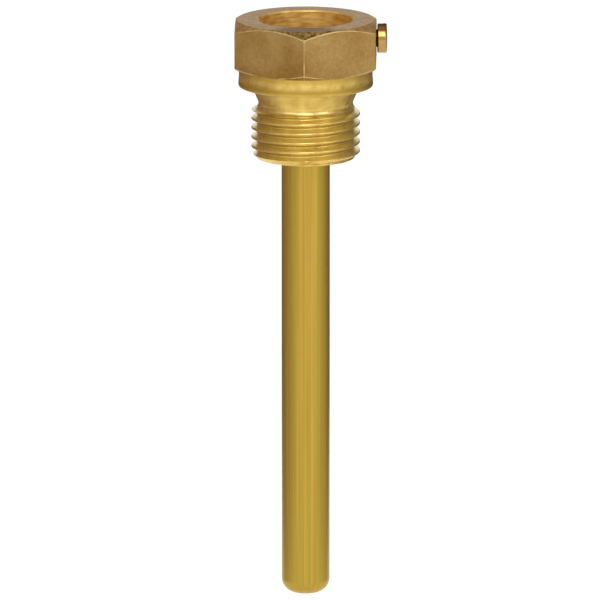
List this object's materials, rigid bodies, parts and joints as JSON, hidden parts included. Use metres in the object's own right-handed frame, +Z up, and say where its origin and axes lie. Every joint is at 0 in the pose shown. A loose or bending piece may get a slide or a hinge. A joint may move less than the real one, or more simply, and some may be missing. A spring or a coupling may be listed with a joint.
{
  "type": "thermowell",
  "caption": "Brass thermowell with a hexagon head, a pipe thread, a closed immersion tube and a side screw that clamps the sensor's neck.",
  "frame": {"origin": "on the well's axis, level with the sealing face under the collar", "axes": "+Z up the axis out of the socket, away from the tip; +X out along the clamping screw, square to its flat"},
  "size_m": [0.0291, 0.0312, 0.113],
  "materials": {
    "head_brass": "matt etched on the hexagon, bright turned on the collar and the thread",
    "tube_brass": "drawn, with fine lines along the tube",
    "screw_brass": "bright turned"
  },
  "bodies": {
    "well": {"head_body": "head_brass", "well_tube": "tube_brass"},
    "screw": {"clamp_screw": "screw_brass"}
  },
  "joints": [
    {"name": "screw_travel", "type": "slide", "parent": "well", "child": "screw", "axis": [1, 0, 0], "range_m": [-0.0002, 0.0035]}
  ]
}
